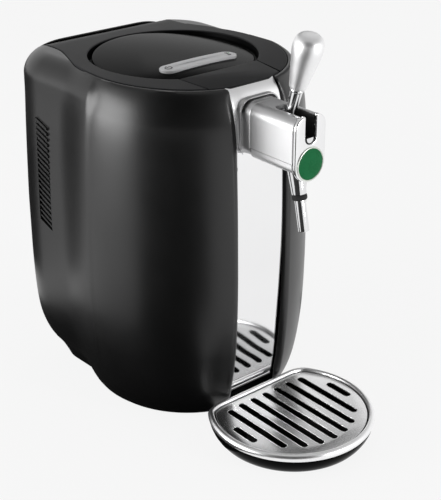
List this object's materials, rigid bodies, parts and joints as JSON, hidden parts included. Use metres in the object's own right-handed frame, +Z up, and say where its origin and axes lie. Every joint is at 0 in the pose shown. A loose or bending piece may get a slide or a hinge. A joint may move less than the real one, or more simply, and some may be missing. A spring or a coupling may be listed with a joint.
{
  "type": "countertop keg cooler and dispenser",
  "caption": "Countertop cooler and dispenser for a small keg: black barrel housing, polished front column, pull tap with a pear knob, hinged lid and a round slotted drip tray.",
  "frame": {"origin": "middle of the bounding box in X and Y, on the surface the feet stand on", "axes": "+Z up, the tap and drip tray point along -Y, +X is the side on the right of someone facing the same way as the tap's back"},
  "size_m": [0.266, 0.45, 0.4449],
  "materials": {
    "base_plate": "fine matt moulding",
    "rubber_feet": "matt",
    "left_shell": "black satin moulding",
    "right_shell": "black satin moulding",
    "side_vents": "black louvres",
    "back_panel": "fine matt moulding",
    "fan_guard": "matt",
    "front_panel": "mirror polished, satin at the top",
    "well_deck": "fine matt moulding",
    "keg_well": "deep drawn, brushed round",
    "well_insulation": "expanded foam",
    "thermistor": "epoxy bead in a clip",
    "cold_block": "milled",
    "peltier_module": "white plates",
    "heatsink": "extruded",
    "fan_frame": "black moulding",
    "fan_rotor": "black moulding",
    "power_board": "solder mask with parts",
    "mains_inlet": "socket",
    "hinge_brackets": "zinc plated",
    "lid_hinge_pin": "ground",
    "latch_keeper": "pressed",
    "hose_barb": "white moulding",
    "lid_frame": "dark grey satin",
    "lid_disc": "high gloss black",
    "lid_liner": "matt",
    "lid_gasket": "soft lip",
    "control_strip": "bead blasted",
    "temp_lens": "clear tinted",
    "control_board": "solder mask",
    "power_button": "bead blasted",
    "button_spring": "wire",
    "lid_release": "dark grey satin",
    "release_spring": "wire",
    "tap_collar": "satin chrome",
    "tap_body": "satin chrome",
    "tap_bottom_cover": "satin chrome",
    "tap_face": "bright chrome",
    "badge": "green dome, pale rim, bare",
    "tap_channel": "black liner",
    "lever_stop": "bright",
    "lever_pin": "ground",
    "lever_stem": "bright chrome",
    "lever_knob": "satin",
    "pinch_plunger": "white moulding",
    "plunger_spring": "wire",
    "tap_hose": "soft silicone",
    "spout_collar": "bright chrome",
    "spout_seal": "black ring",
    "spout_tube": "bright chrome",
    "tray_base": "gloss black",
    "tray_rim": "bright chrome",
    "drip_grille": "polished steel",
    "shell_screws": "zinc plated",
    "panel_screws": "blackened",
    "tap_screws": "zinc plated"
  },
  "bodies": {
    "root": {"base_plate": "base_plate", "rubber_feet": "rubber_feet", "left_shell": "left_shell", "right_shell": "right_shell", "side_vents": "side_vents", "back_panel": "back_panel", "fan_guard": "fan_guard", "front_panel": "front_panel", "well_deck": "well_deck", "keg_well": "keg_well", "well_insulation": "well_insulation", "thermistor": "thermistor", "cold_block": "cold_block", "peltier_module": "peltier_module", "heatsink": "heatsink", "fan_frame": "fan_frame", "power_board": "power_board", "mains_inlet": "mains_inlet", "hinge_brackets": "hinge_brackets", "lid_hinge_pin": "lid_hinge_pin", "latch_keeper": "latch_keeper", "hose_barb": "hose_barb", "tap_collar": "tap_collar", "tap_body": "tap_body", "tap_bottom_cover": "tap_bottom_cover", "tap_face": "tap_face", "badge": "badge", "tap_channel": "tap_channel", "lever_stop": "lever_stop", "lever_pin": "lever_pin", "plunger_spring": "plunger_spring", "tap_hose": "tap_hose", "spout_collar": "spout_collar", "spout_seal": "spout_seal", "spout_tube": "spout_tube", "shell_screws": "shell_screws", "panel_screws": "panel_screws", "tap_screws": "tap_screws"},
    "lid": {"lid_frame": "lid_frame", "lid_disc": "lid_disc", "lid_liner": "lid_liner", "lid_gasket": "lid_gasket", "control_strip": "control_strip", "temp_lens": "temp_lens", "control_board": "control_board", "button_spring": "button_spring", "release_spring": "release_spring"},
    "release": {"lid_release": "lid_release"},
    "button": {"power_button": "power_button"},
    "lever": {"lever_stem": "lever_stem", "lever_knob": "lever_knob"},
    "plunger": {"pinch_plunger": "pinch_plunger"},
    "fan": {"fan_rotor": "fan_rotor"},
    "tray": {"tray_base": "tray_base", "tray_rim": "tray_rim"},
    "grille": {"drip_grille": "drip_grille"}
  },
  "joints": [
    {"name": "lid_hinge", "type": "hinge", "parent": "root", "child": "lid", "pos_m": [0, 0.182, 0.365], "axis": [-1, 0, 0], "range_deg": [0, 95]},
    {"name": "release_press", "type": "slide", "parent": "lid", "child": "release", "axis": [0, 0, -1], "range_m": [0, 0.0025], "stiffness_N_per_m": 600, "springref_m": -0.001, "deforming": ["release_spring"]},
    {"name": "power_button_press", "type": "slide", "parent": "lid", "child": "button", "axis": [0, 0, -1], "range_m": [0, 0.0008], "stiffness_N_per_m": 500, "springref_m": -0.0006, "deforming": ["button_spring"]},
    {"name": "lever_pivot", "type": "hinge", "parent": "root", "child": "lever", "pos_m": [0, -0.117, 0.344], "axis": [1, 0, 0], "range_deg": [0, 47]},
    {"name": "plunger_slide", "type": "slide", "parent": "root", "child": "plunger", "axis": [0, 0, 1], "range_m": [0, 0.0046], "deforming": ["plunger_spring"]},
    {"name": "fan_spin", "type": "hinge", "parent": "root", "child": "fan", "pos_m": [0, 0.2, 0.24], "axis": [0, 1, 0], "continuous": true},
    {"name": "tray_slide", "type": "slide", "parent": "root", "child": "tray", "axis": [0, -1, 0], "range_m": [0, 0.06]},
    {"name": "grille_lift", "type": "slide", "parent": "tray", "child": "grille", "axis": [0, 0, 1], "range_m": [0, 0.03]}
  ],
  "couplings": [
    {"joint": "plunger_slide", "follows": "lever_pivot", "m_per_rad": 0.005157}
  ]
}
